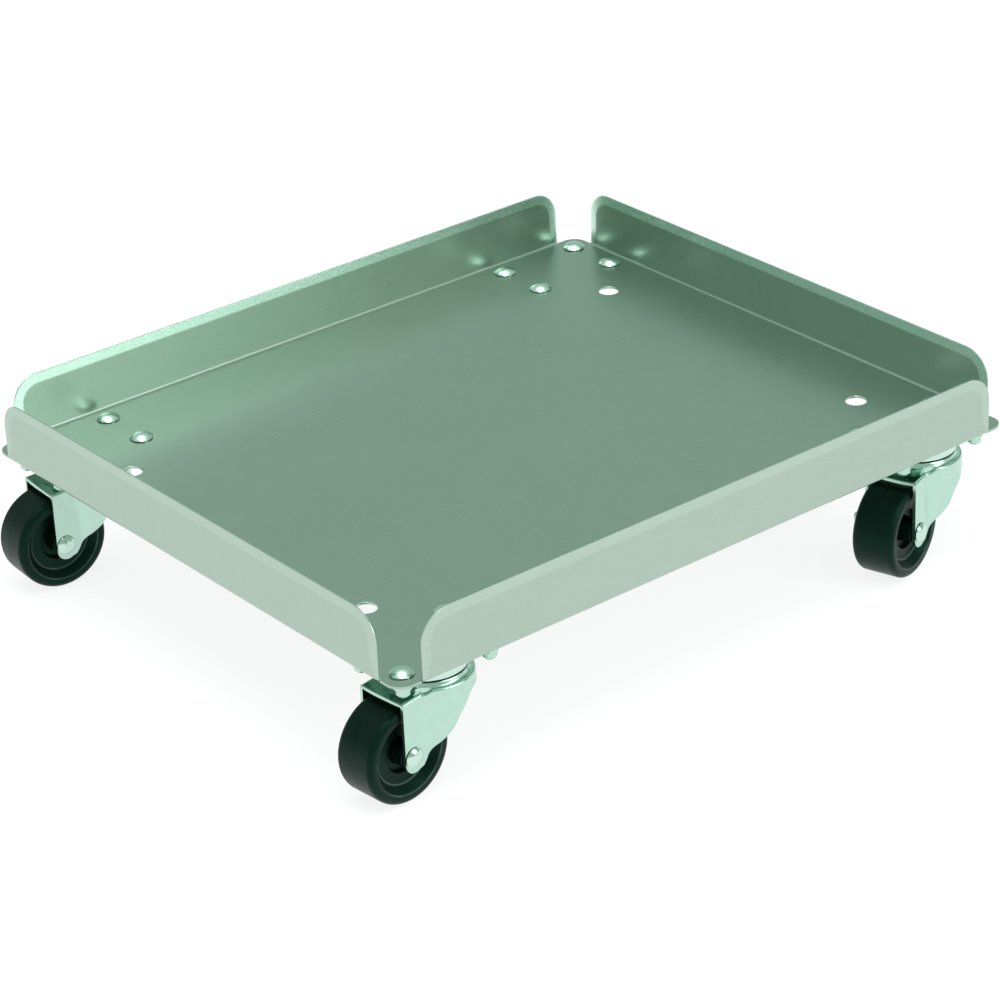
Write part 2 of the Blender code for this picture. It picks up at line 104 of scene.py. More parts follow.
# Yoke; X runs from the kingpin toward the wheel
TRAIL = 0.0355
YOKE_SHEET = 0.0025
YOKE_HALF = 0.0222
YOKE_REAR = 0.0435
YOKE_TRIM = 0.008                  # the shell reaches this far past the rear, and is cut off there
YOKE_PLAN_CORNER = 0.006
WEB_TOP = 0.0844
WEB_RISE = 0.0010                  # from the web's rear to the foot of the cove
WEB_SAG = 0.0014                   # at the middle of the web's rear edge
RIM_TOP = 0.0888
YOKE_LIP_TOP = 0.0920
UNDERSIDE_TOP = 0.0864
SHOULDER_OUT = 0.0022              # radii of the bend between web and leg
SHOULDER_IN = 0.0008
COVE_OUT = (0.0368, 0.0330)        # radii of the cove's foot and crest, on top
COVE_IN = (0.0342, 0.0302)         # the same, on the underside
COVE_END = 0.0317                  # where the race begins
UNDERSIDE_START = 0.0298
LEG_END_RADIUS = 0.0085
LEG_BOTTOM = 0.0259
AXLE_HOLE_RADIUS = 0.0043
WALL_TURN = (0.064, 0.086)         # heights between which the lower plan becomes the upper one
WALL_HEIGHTS = (0.020, 0.030, 0.040, 0.050, 0.058, 0.064, 0.069, 0.074, 0.078)
LOWER_SKIRT_RADIUS = 0.0360
UPPER_SKIRT_RADIUS = 0.0350
# Plan of the flare from the legs out to the skirt, as (x, y)
LOWER_FLARE = [(0.0262, YOKE_HALF), (0.0236, YOKE_HALF), (0.0205, 0.0232), (0.0130, 0.0281),
               (0.0030, 0.0328)]
UPPER_FLARE = [(0.0275, YOKE_HALF), (0.0255, 0.0228), (0.0215, 0.0266), (0.0140, 0.0316),
               (0.0040, 0.0344)]
# Side view of the leg's front edge, as (x, z)
THROAT = [(-0.0200, 0.0779), (-0.0155, 0.0777), (-0.0090, 0.0757), (-0.0045, 0.0699), (0.0002, 0.0627),
          (0.0060, 0.0519), (0.0130, 0.0449), (0.0180, 0.0409), (0.0213, 0.0369), (0.0238, 0.0321),
          (0.0266, 0.0284)]
# Section of the lower race, over the lip, across the floor and back below, as (radius, z)
RACE = [(0.0314, 0.0891), (0.0310, 0.0896), (0.0307, 0.0905), (0.0304, 0.0914), (0.0300, 0.0919),
        (0.0294, YOKE_LIP_TOP), (0.0288, 0.0919), (0.0282, 0.0913), (0.0277, 0.0905), (0.0271, 0.0901),
        (0.0262, RACE_FLOOR), (0.0160, RACE_FLOOR), (KINGPIN_HOLE_RADIUS, RACE_FLOOR),
        (KINGPIN_HOLE_RADIUS, RACE_FLOOR - YOKE_SHEET), (0.0160, RACE_FLOOR - YOKE_SHEET),
        (0.0270, RACE_FLOOR - YOKE_SHEET), (0.0284, 0.0872), (0.0294, 0.0866)]
# Painted shade on the level web under the tray: it lies within these side distances of the middle,
# outside this radius and below these heights
SHADE_RADIUS = 0.0314
SHADE_SIDE = (0.0192, 0.0208)
SHADE_TOP = (0.0868, 0.0886)

# Axle and wheel
AXLE_RADIUS = 0.0040
AXLE_HEAD_RADIUS = 0.0078
AXLE_HEAD_HEIGHT = 0.0036
AXLE_THREAD_DEPTH = 0.0004
AXLE_THREAD_END = 0.0346
AXLE_NUT_HEX_HEIGHT = 0.0055
AXLE_NUT_COLLAR_HEIGHT = 0.0020
AXLE_NUT_COLLAR_RADIUS = 0.0060
WHEEL_RADIUS = 0.0385
WHEEL_HALF = 0.0180
WHEEL_SHOULDER = 0.0045
# Section of a wheel's face from the bore outward, as (radius, distance from the wheel's middle)
WHEEL_FACE = [(0.0044, 0.0183), (0.0047, 0.0186), (0.0088, 0.0186), (0.0093, 0.0182), (0.0099, 0.0075),
              (0.0106, 0.0066), (0.0150, 0.0066), (0.0156, 0.0072), (0.0160, 0.0100), (0.0163, 0.0105),
              (0.0169, 0.0107), (0.0240, 0.0107), (0.0247, 0.0109), (0.0252, 0.0113), (0.0256, 0.01175),
              (0.0303, 0.01695), (0.0307, 0.0174), (0.0309, 0.0177), (0.0311, 0.0179),
              (0.0315, WHEEL_HALF)]
HIGHLIGHT_RINGS = ((0.0246, 0.0253), (0.0306, 0.0312))      # radii between which an edge gets a painted highlight

# Sides of the round shapes
BOLT_HOLE_SIDES = 24
DRAIN_HOLE_SIDES = 72
SMALL_SIDES = 48
AXLE_SIDES = 64
CAGE_SIDES = 72
RACE_SIDES = 96
WHEEL_SIDES = 128

# ---------------------------------------------------------------- places, read from the frame

tray_low, tray_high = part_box("tray")
TRAY_X = (tray_low.x + tray_high.x) / 2
TRAY_LENGTH = tray_high.x - tray_low.x - 2 * SHEET
TRAY_WIDTH = tray_high.y - tray_low.y - 2 * SHEET
DECK_TOP = tray_high.z - FLANGE_HEIGHT
CORNERS = ("front_left", "front_right", "rear_left", "rear_right")


def box_centre(node):
    low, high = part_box(node)
    return (low + high) / 2


def swivel_place(corner):
    """Swivel axis of one caster and the direction that it trails in."""
    axis = box_centre(f"kingpin_{corner}")
    wheel = box_centre(f"wheel_{corner}")
    return axis, math.atan2(wheel.y - axis.y, wheel.x - axis.x)


# ---------------------------------------------------------------- mesh tools

def arc(centre, radius, start_deg, end_deg, steps):
    """Points along an arc, both ends included."""
    points = []
    for i in range(steps + 1):
        angle = math.radians(start_deg + (end_deg - start_deg) * i / steps)
        points.append((centre[0] + radius * math.cos(angle), centre[1] + radius * math.sin(angle)))
    return points


def smoothstep(value, low, high):
    """0 below low, 1 above high, and an even curve between them."""
    t = min(max((value - low) / (high - low), 0.0), 1.0)
    return t * t * (3 - 2 * t)


def spline(points, steps):
    """Smooth curve through the points, with steps pieces between each pair."""
    ends = [points[0]] + list(points) + [points[-1]]
    result = []
    for i in range(1, len(ends) - 2):
        a, b, c, d = (Vector(p) for p in ends[i - 1:i + 3])
        for k in range(steps):
            t = k / steps
            p = 0.5 * (2 * b + (c - a) * t + (2 * a - 5 * b + 4 * c - d) * t * t
                       + (3 * b - a - 3 * c + d) * t ** 3)
            result.append(tuple(p))
    result.append(tuple(points[-1]))
    return result


def new_object(name, mesh):
    obj = bpy.data.objects.new(name, mesh)
    bpy.context.scene.collection.objects.link(obj)
    return obj


def baked(obj):
    """The object's mesh with its modifiers applied. The object is deleted."""
    depsgraph = bpy.context.evaluated_depsgraph_get()
    mesh = bpy.data.meshes.new_from_object(obj.evaluated_get(depsgraph))
    bpy.data.objects.remove(obj, do_unlink=True)
    return mesh


def prism(outline, low, high, holes=()):
    """An outline in the XY plane, less its holes, raised from low to high."""
    curve = bpy.data.curves.new("outline", "CURVE")
    curve.dimensions = "2D"
    curve.fill_mode = "BOTH"
    curve.extrude = (high - low) / 2
    for loop in (outline, *holes):
        line = curve.splines.new("POLY")
        line.points.add(len(loop) - 1)
        for point, (x, y) in zip(line.points, loop):
            point.co = (x, y, 0, 1)
        line.use_cyclic_u = True
    mesh = baked(new_object("work", curve))
    form = bmesh.new()
    form.from_mesh(mesh)
    bmesh.ops.remove_doubles(form, verts=form.verts, dist=1e-6)
    bmesh.ops.translate(form, verts=form.verts, vec=(0, 0, (high + low) / 2))
    bmesh.ops.recalc_face_normals(form, faces=form.faces)
    form.to_mesh(mesh)
    form.free()
    return mesh


def turned(profile, steps, closed=True):
    """A (radius, height) profile turned about Z. It runs down its outer side."""
    mesh = bpy.data.meshes.new("turned")
    edges = [(i, i + 1) for i in range(len(profile) - 1)]
    if closed:
        edges.append((len(profile) - 1, 0))
    mesh.from_pydata([(r, 0, z) for r, z in profile], edges, [])
    obj = new_object("work", mesh)
    screw = obj.modifiers.new("turn", "SCREW")
    screw.steps = steps
    screw.render_steps = steps
    screw.use_merge_vertices = True
    screw.merge_threshold = 1e-6
    return baked(obj)


def combined(base, *operations):
    """The base mesh after a list of (boolean operation, mesh) pairs."""
    obj = new_object("work", base)
    others = []
    for operation, mesh in operations:
        other = new_object("cutter", mesh)
        boolean = obj.modifiers.new(operation.lower(), "BOOLEAN")
        boolean.operation = operation
        boolean.object = other
        others.append(other)
    mesh = baked(obj)
    for other in others:
        bpy.data.objects.remove(other, do_unlink=True)
    return mesh


def joined(*meshes):
    """Several meshes as one, without welding them."""
    form = bmesh.new()
    for mesh in meshes:
        form.from_mesh(mesh)
    result = bpy.data.meshes.new("joined")
    form.to_mesh(result)
    form.free()
    return result


def cylinder(radius, low, high, steps):
    mesh = bpy.data.meshes.new("cylinder")
    form = bmesh.new()
    bmesh.ops.create_cone(form, cap_ends=True, segments=steps, radius1=radius, radius2=radius,
                          depth=high - low, matrix=Matrix.Translation((0, 0, (low + high) / 2)))
    form.to_mesh(mesh)
    form.free()
    return mesh


def lay_along_y(mesh):
    """Tip a mesh over so that its +Z end points along +Y."""
    mesh.transform(Matrix.Rotation(math.radians(-90), 4, "X"))
    return mesh


def bevelled(mesh, width, angle_deg):
    obj = new_object("work", mesh)
    bevel = obj.modifiers.new("edges", "BEVEL")
    bevel.width = width
    bevel.segments = 2
    bevel.limit_method = "ANGLE"
    bevel.angle_limit = math.radians(angle_deg)
    bevel.use_clamp_overlap = True
    return baked(obj)


def shade(mesh, angle_deg):
    """Smooth shading that breaks at sharp edges and stays true on the flat faces."""
    mesh.shade_smooth()
    mesh.set_sharp_from_angle(angle=math.radians(angle_deg))
    obj = new_object("work", mesh)
    weighted = obj.modifiers.new("normals", "WEIGHTED_NORMAL")
    weighted.mode = "FACE_AREA"
    weighted.weight = 100
    weighted.keep_sharp = True
    return baked(obj)


# ---------------------------------------------------------------- materials

SATIN = (0.415, 0.525, 0.450)
SATIN_DARK = (0.385, 0.495, 0.422)
SATIN_CLOUD = (0.55, 0.62, 0.56)
# Painted highlight colour of the coined rim band, lighter than the sheet
SATIN_RIM_HIGHLIGHT = (0.74, 0.92, 0.84)
ZINC_LOW = (0.460, 0.660, 0.565)
ZINC_HIGH = (0.495, 0.700, 0.605)
# Painted shade colour of the level web under the tray
ZINC_PAINTED_SHADE = (0.085, 0.205, 0.145)
BRIGHT = (0.57, 0.75, 0.66)
BRIGHT_LOW = (0.53, 0.71, 0.62)
BRIGHT_HIGH = (0.61, 0.79, 0.70)
STEEL = (0.50, 0.56, 0.54)
STEEL_LOW = (0.38, 0.43, 0.41)
STEEL_HIGH = (0.58, 0.64, 0.62)
PLASTIC = (0.004, 0.010, 0.008)
PLASTIC_LOW = (0.0016, 0.0058, 0.0040)
PLASTIC_HIGH = (0.0038, 0.0100, 0.0074)
# Painted highlight colour of the wheel's rim edge and dish fillet
PLASTIC_EDGE_HIGHLIGHT = (0.11, 0.17, 0.145)
PLASTIC_SHEEN = (0.25, 1.0, 0.75)


def material(name, base, roughness, metallic):
    """A material and its shader. The first values stand in where a texture is linked later."""
    made = bpy.data.materials.new(name)
    made.use_nodes = True
    shader = made.node_tree.nodes["Principled BSDF"]
    shader.inputs["Base Color"].default_value = (*base, 1.0)
    shader.inputs["Roughness"].default_value = roughness
    shader.inputs["Metallic"].default_value = metallic
    made.diffuse_color = (*base, 1.0)
    return made, shader


def add_node(made, kind, **settings):
    node = made.node_tree.nodes.new(kind)
    for key, value in settings.items():
        setattr(node, key, value)
    return node


def link(made, source, target):
    made.node_tree.links.new(source, target)


def noise(made, coordinates, scale, stretch=(1, 1, 1), detail=3.0, roughness=0.5):
    """Noise over coordinates that are stretched first; the result runs from 0 to 1."""
    mapping = add_node(made, "ShaderNodeMapping")
    mapping.inputs["Scale"].default_value = stretch
    link(made, coordinates, mapping.inputs["Vector"])
    texture = add_node(made, "ShaderNodeTexNoise")
    texture.inputs["Scale"].default_value = scale
    texture.inputs["Detail"].default_value = detail
    texture.inputs["Roughness"].default_value = roughness
    link(made, mapping.outputs["Vector"], texture.inputs["Vector"])
    return texture.outputs["Fac"]


def ranged(made, value, low, high, out_low, out_high):
    """A value that runs from low to high, mapped onto out_low to out_high."""
    node = add_node(made, "ShaderNodeMapRange")
    node.inputs["From Min"].default_value = low
    node.inputs["From Max"].default_value = high
    node.inputs["To Min"].default_value = out_low
    node.inputs["To Max"].default_value = out_high
    link(made, value, node.inputs["Value"])
    return node.outputs["Result"]


def mixed(made, factor, first, second):
    """Mix two colours, each a colour or a socket, by a socket's value."""
    node = add_node(made, "ShaderNodeMix", data_type="RGBA")
    inputs = [s for s in node.inputs if s.type == "RGBA"]
    link(made, factor, node.inputs[0])
    for socket, value in zip(inputs, (first, second)):
        if isinstance(value, tuple):
            socket.default_value = (*value, 1.0)
        else:
            link(made, value, socket)
    return [s for s in node.outputs if s.type == "RGBA"][0]


def math_node(made, operation, first, second):
    """Combine two values, each a number or a socket."""
    node = add_node(made, "ShaderNodeMath", operation=operation)
    for socket, value in zip(node.inputs, (first, second)):
        if isinstance(value, (int, float)):
            socket.default_value = value
        else:
            link(made, value, socket)
    return node.outputs["Value"]


def bump(made, shader, height, strength, distance):
    """Relief on the shader's surface; distance is its depth in metres."""
    node = add_node(made, "ShaderNodeBump")
    node.inputs["Strength"].default_value = strength
    node.inputs["Distance"].default_value = distance
    link(made, height, node.inputs["Height"])
    link(made, node.outputs["Normal"], shader.inputs["Normal"])


def object_coordinates(made):
    return add_node(made, "ShaderNodeTexCoord").outputs["Object"]


def satin_sheet():
    """Stainless sheet brushed along its length, with cloudy handling marks and a painted highlight on
    the coined rim band.
    """
    made, shader = material("satin_sheet", SATIN, 0.3, 1.0)
    unfolded = add_node(made, "ShaderNodeUVMap", uv_map="unfolded").outputs["UV"]
    fine = noise(made, unfolded, 1.0, (45, 1100, 1), detail=3.0)
    coarse = noise(made, unfolded, 1.0, (500, 700, 1), detail=2.0)
    clouds = noise(made, unfolded, 1.0, (9, 13, 1), detail=5.0, roughness=0.6)
    grain = math_node(made, "ADD", math_node(made, "MULTIPLY", fine, 0.72),
                      math_node(made, "MULTIPLY", coarse, 0.28))
    tone = mixed(made, ranged(made, grain, 0.35, 0.65, 0.0, 1.0), SATIN_DARK, SATIN)
    tone = mixed(made, ranged(made, clouds, 0.35, 0.7, 0.0, 0.10), tone, SATIN_CLOUD)
    # The rim mark paints a highlight on the coined band and makes it a little smoother
    rim = add_node(made, "ShaderNodeAttribute", attribute_name="rim").outputs["Fac"]
    tone = mixed(made, rim, tone, SATIN_RIM_HIGHLIGHT)
    link(made, tone, shader.inputs["Base Color"])
    rough = math_node(made, "ADD", ranged(made, grain, 0.3, 0.7, 0.25, 0.33),
                      ranged(made, clouds, 0.3, 0.7, 0.0, 0.03))
    link(made, math_node(made, "SUBTRACT", rough, math_node(made, "MULTIPLY", rim, 0.03)),
         shader.inputs["Roughness"])
    bump(made, shader, grain, 0.16, 0.00006)
    return made


def zinc_plate():
    """Bright zinc with a faint bloom, and painted shade on the level web below the race, under the
    tray.
    """
    made, shader = material("zinc_plate", ZINC_HIGH, 0.2, 1.0)
    where = object_coordinates(made)
    clouds = noise(made, where, 110.0, detail=4.0, roughness=0.6)
    grit = noise(made, where, 900.0, detail=3.0)
    tone = mixed(made, ranged(made, clouds, 0.3, 0.7, 0.0, 1.0), ZINC_LOW, ZINC_HIGH)
    # The web under the tray gets painted shade
    painted_shade = add_node(made, "ShaderNodeAttribute", attribute_name="painted_shade").outputs["Fac"]
    tone = mixed(made, painted_shade, tone, ZINC_PAINTED_SHADE)
    link(made, tone, shader.inputs["Base Color"])
    link(made, ranged(made, clouds, 0.3, 0.7, 0.19, 0.24), shader.inputs["Roughness"])
    relief = math_node(made, "ADD", clouds, math_node(made, "MULTIPLY", grit, 0.15))
    bump(made, shader, relief, 0.06, 0.0002)
    return made


def bright_zinc():
    """Cold-headed fasteners: the same plating, smoother and glossier."""
    made, shader = material("bright_zinc", BRIGHT, 0.12, 1.0)
    specks = noise(made, object_coordinates(made), 500.0, detail=3.0)
    link(made, mixed(made, specks, BRIGHT_LOW, BRIGHT_HIGH), shader.inputs["Base Color"])
    link(made, ranged(made, specks, 0.3, 0.7, 0.09, 0.16), shader.inputs["Roughness"])
    bump(made, shader, specks, 0.08, 0.00008)
    return made


def bearing_steel():
    """Bare steel of the balls and the kingpin, unevenly stained by grease."""
    made, shader = material("bearing_steel", STEEL, 0.25, 1.0)
    stain = noise(made, object_coordinates(made), 220.0, detail=4.0, roughness=0.65)
    link(made, mixed(made, stain, STEEL_LOW, STEEL_HIGH), shader.inputs["Base Color"])
    link(made, ranged(made, stain, 0.3, 0.7, 0.18, 0.36), shader.inputs["Roughness"])
    bump(made, shader, stain, 0.1, 0.0001)
    return made


def wheel_plastic():
    """Moulded black plastic with a fine satin texture, and painted highlights on two edges of each
    face.
    """
    made, shader = material("wheel_plastic", PLASTIC, 0.4, 0.0)
    where = object_coordinates(made)
    pebble = noise(made, where, 1400.0, detail=2.0)
    smear = noise(made, where, 70.0, detail=4.0, roughness=0.6)
    tone = mixed(made, ranged(made, smear, 0.3, 0.75, 0.0, 1.0), PLASTIC_LOW, PLASTIC_HIGH)
    # The edge mark paints a highlight, uneven along it, and makes the edge glossier
    edge = add_node(made, "ShaderNodeAttribute", attribute_name="edge").outputs["Fac"]
    edge_highlight = math_node(made, "MULTIPLY", edge, ranged(made, smear, 0.3, 0.7, 0.25, 0.75))
    link(made, mixed(made, edge_highlight, tone, PLASTIC_EDGE_HIGHLIGHT), shader.inputs["Base Color"])
    rough = ranged(made, smear, 0.3, 0.7, 0.32, 0.42)
    link(made, math_node(made, "SUBTRACT", rough, math_node(made, "MULTIPLY", edge, 0.1)),
         shader.inputs["Roughness"])
    shader.inputs["IOR"].default_value = 1.45
    shader.inputs["Specular IOR Level"].default_value = 0.24
    shader.inputs["Specular Tint"].default_value = (*PLASTIC_SHEEN, 1.0)
    bump(made, shader, pebble, 0.12, 0.00012)
    return made


# ---------------------------------------------------------------- tray

def side_frame(side):
    """Outward and along directions of one side, and half the tray's size in each."""
    angle = side * math.pi / 2
    outward = Vector((round(math.cos(angle)), round(math.sin(angle)), 0))
    along = Vector((-outward.y, outward.x, 0))
    half_out = (TRAY_LENGTH if side % 2 == 0 else TRAY_WIDTH) / 2
    half_run = (TRAY_WIDTH if side % 2 == 0 else TRAY_LENGTH) / 2
    return outward, along, half_out, half_run


def flange_path(half, top, inset):
    """The free edge of a flange moved inward: up one end, along the top, down the other end."""
    base = DECK_TOP + BEND_RADIUS
    radius = FLANGE_CORNER_RADIUS - inset
    shoulder = top - FLANGE_CORNER_RADIUS
    reach = half - FLANGE_CORNER_RADIUS
    rise = [(half - inset, base + (shoulder - base) * i / 8) for i in range(8)]
    corner = arc((reach, shoulder), radius, 0, 90, 14)
    span = [(reach * (1 - i / 6), top - inset) for i in range(1, 6)]
    path = rise + corner + span
    return path + [(0.0, top - inset)] + [(-run, up) for run, up in reversed(path)]


def fold_runs(half):
    """Where a fold's points lie along it."""
    runs = [half - inset for inset in RIM_RINGS]
    return runs + [-run for run in reversed(runs)]


def add_flange(form, side, hinge):
    """Grow one flange from its fold: bent rows first, then nested rings from the free edge inward."""
    outward, along, half_out, half_run = side_frame(side)
    half = half_run - FLANGE_SETBACK
    centre = outward * (half_out - BEND_RADIUS)
    runs = fold_runs(half)
    row = hinge
    steps = 8
    for step in range(1, steps + 1):
        angle = math.radians(90 * step / steps)
        base = centre + outward * BEND_RADIUS * math.sin(angle)
        base = base + Vector((0, 0, DECK_TOP + BEND_RADIUS * (1 - math.cos(angle))))
        new_row = [form.verts.new(base + along * run) for run in runs]
        for i in range(len(runs) - 1):
            form.faces.new((row[i], row[i + 1], new_row[i + 1], new_row[i]))
        row = new_row
    top = DECK_TOP + FLANGE_HEIGHT
    rings = []
    for j, inset in enumerate(RIM_RINGS):
        path = flange_path(half, top, inset)
        ring = [row[j]]
        ring += [form.verts.new(outward * half_out + along * run + Vector((0, 0, up)))
                 for run, up in path[1:-1]]
        ring.append(row[-1 - j])
        rings.append(ring)
    for outer, inner in zip(rings, rings[1:]):
        for i in range(len(outer) - 1):
            form.faces.new((outer[i], outer[i + 1], inner[i + 1], inner[i]))
    form.faces.new(rings[-1])


def tray_surface():
    """The tray's upper surface without thickness: the deck's outline, four flanges, then a grid."""
    form = bmesh.new()
    loop = []
    hinges = []
    for side in range(4):
        outward, along, half_out, half_run = side_frame(side)
        half = half_run - FLANGE_SETBACK
        fold = outward * (half_out - BEND_RADIUS) + Vector((0, 0, DECK_TOP))
        edge = outward * half_out + Vector((0, 0, DECK_TOP))
        hinge = [form.verts.new(fold + along * run) for run in fold_runs(half)]
        hinges.append(hinge)
        loop += [form.verts.new(edge - along * half), *reversed(hinge),
                 form.verts.new(edge + along * half)]
        centre = (outward * (half_out - DECK_CORNER_RADIUS)
                  + along * (half_run - DECK_CORNER_RADIUS))
        for x, y in arc((0, 0), DECK_CORNER_RADIUS, side * 90, side * 90 + 90, 16):
            loop.append(form.verts.new(centre + Vector((x, y, DECK_TOP))))
    form.faces.new(loop)
    for side, hinge in enumerate(hinges):
        add_flange(form, side, hinge)
    for axis in (0, 1):
        normal = Vector((1 - axis, axis, 0))
        for step in range(-GRID_REACH, GRID_REACH + 1):
            geometry = form.verts[:] + form.edges[:] + form.faces[:]
            cut = normal * (GRID_STEP * step + GRID_SHIFT)
            bmesh.ops.bisect_plane(form, geom=geometry, dist=1e-7, plane_co=cut, plane_no=normal)
    bmesh.ops.recalc_face_normals(form, faces=form.faces)
    floor = max(form.faces, key=lambda face: abs(face.normal.z))
    if floor.normal.z < 0:
        bmesh.ops.reverse_faces(form, faces=form.faces)
    mesh = bpy.data.meshes.new("tray")
    form.to_mesh(mesh)
    form.free()
    return mesh


def edge_distance(run, up, half, top):
    """Distance from a point of a flange to its free edge."""
    reach = half - FLANGE_CORNER_RADIUS
    shoulder = top - FLANGE_CORNER_RADIUS
    run = abs(run)
    if run > reach and up > shoulder:
        return FLANGE_CORNER_RADIUS - math.hypot(run - reach, up - shoulder)
    return min(half - run, top - up)


def on_deck(vertex):
    return vertex.co.z < DECK_TOP + BEND_RADIUS * 0.5


def coin_rim(mesh):
    """Press a tapered band round each flange's free edge, round the edge over, and mark the band for a
    painted highlight, full on the inner face and faint on the outer.
    """
    mark = mesh.attributes.new("rim", "FLOAT", "POINT")
    top = DECK_TOP + FLANGE_HEIGHT
    for index, vertex in enumerate(mesh.vertices):
        if on_deck(vertex):
            continue
        for side in range(4):
            outward, along, half_out, half_run = side_frame(side)
            depth = vertex.co.dot(outward) - half_out
            if depth < -BEND_RADIUS:
                continue
            half = half_run - FLANGE_SETBACK
            away = edge_distance(vertex.co.dot(along), vertex.co.z, half, top)
            foot = smoothstep(vertex.co.z - DECK_TOP, 0.002, 0.016)
            band = RIM_BAND * (0.45 + 0.55 * foot)
            press = RIM_TAPER * max(0.0, 1 - away / band)
            if away < RIM_ROUND:
                press += RIM_ROUND_DEPTH * (1 - away / RIM_ROUND) ** 2
            inside = depth < SHEET / 2
            vertex.co += outward * (press if inside else -press)
            # Weight of the band's painted highlight: full on the inner face, faint on the outer
            share = 1 - smoothstep(away, band - 0.0012, band + 0.0004)
            mark.data[index].value = share * (1.0 if inside else RIM_OUTER_HIGHLIGHT)
    return mesh


def unmark_deck(mesh):
    """Take the band's painted-highlight mark off the points that the holes add to the deck."""
    mark = mesh.attributes["rim"]
    for index, vertex in enumerate(mesh.vertices):
        if on_deck(vertex):
            mark.data[index].value = 0.0
    return mesh


def unfold(mesh):
    """UV map of the flat blank, in metres, so that the brushing runs one way across the folds."""
    layer = mesh.uv_layers.new(name="unfolded")
    half_x = TRAY_LENGTH / 2
    half_y = TRAY_WIDTH / 2
    for loop in mesh.loops:
        x, y, z = mesh.vertices[loop.vertex_index].co
        rise = max(z - DECK_TOP, 0.0)
        if abs(x) > half_x - BEND_RADIUS:
            x += math.copysign(rise, x)
        elif abs(y) > half_y - BEND_RADIUS:
            y += math.copysign(rise, y)
        layer.data[loop.index].uv = (x, y)
    return mesh


def hole_mesh(x, y, radius, steps):
    """Cutter for one hole, with a small chamfer at both faces of the deck."""
    top = DECK_TOP
    low = DECK_TOP - SHEET
    big = radius + HOLE_CHAMFER
    past = HOLE_OVERSHOOT
    profile = [(0, top + past), (big + past, top + past), (big, top), (radius, top - HOLE_CHAMFER),
               (radius, low + HOLE_CHAMFER), (big, low), (big + past, low - past), (0, low - past)]
    mesh = turned(profile, steps, closed=False)
    mesh.transform(Matrix.Translation((x, y, 0)))
    return mesh


def local_bolt_places():
    """The four bolts of one caster, from its kingpin."""
    half_x = BOLT_SPACING_X / 2
    half_y = BOLT_SPACING_Y / 2
    return [(half_x, half_y), (-half_x, half_y), (-half_x, -half_y), (half_x, -half_y)]


def tray_mesh():
    """The folded sheet with its coined rims and its holes, centred on X = 0."""
    obj = new_object("work", tray_surface())
    sheet = obj.modifiers.new("sheet", "SOLIDIFY")
    sheet.thickness = SHEET
    sheet.offset = -1
    sheet.use_even_offset = True
    solid = coin_rim(baked(obj))
    holes = []
    for corner in CORNERS:
        axis, _ = swivel_place(corner)
        x = axis.x - TRAY_X
        for bolt_x, bolt_y in local_bolt_places():
            holes.append(hole_mesh(x + bolt_x, axis.y + bolt_y, BOLT_HOLE_RADIUS, BOLT_HOLE_SIDES))
        drain_y = math.copysign(TRAY_WIDTH / 2 - DRAIN_HOLE_FROM_SIDE, axis.y)
        holes.append(hole_mesh(x, drain_y, DRAIN_HOLE_RADIUS, DRAIN_HOLE_SIDES))
    pierced = combined(solid, ("DIFFERENCE", joined(*holes)))
    return shade(unfold(unmark_deck(pierced)), 25)


# ---------------------------------------------------------------- fasteners

def dome(radius, height, lip, steps):
    """Profile of a low dome over a short straight lip, from the crown outward."""
    rise = height - lip
    sphere = (radius * radius + rise * rise) / (2 * rise)
    limit = math.asin(radius / sphere)
    points = []
    for i in range(steps + 1):
        angle = limit * i / steps
        points.append((sphere * math.sin(angle), height - sphere * (1 - math.cos(angle))))
    return points[:-1] + [(radius - 0.00018, lip + 0.00012), (radius, lip - 0.0001)]


def thread(radius, depth, top, low):
    """Profile of the thread on a shank, from top down to about low."""
    points = []
    while top > low:
        points += [(radius - depth, top - THREAD_PITCH / 2), (radius, top - THREAD_PITCH)]
        top -= THREAD_PITCH
    return points


def bolt_mesh(shank_end):
    """Domed carriage bolt, its origin on the deck, with a chamfered, threaded end."""
    profile = [(r, GAP + z) for r, z in dome(BOLT_HEAD_RADIUS, BOLT_HEAD_HEIGHT, 0.0007, 16)]
    profile += [(BOLT_HEAD_RADIUS, GAP + 0.0002), (BOLT_HEAD_RADIUS - 0.0003, GAP), (BOLT_RADIUS, GAP)]
    profile.append((BOLT_RADIUS, BOLT_THREAD_TOP))
    profile += thread(BOLT_RADIUS, THREAD_DEPTH, BOLT_THREAD_TOP, shank_end + 0.0018)
    profile += [(BOLT_RADIUS - 0.0009, shank_end), (0, shank_end)]
    return shade(turned(profile, SMALL_SIDES, closed=False), 30)


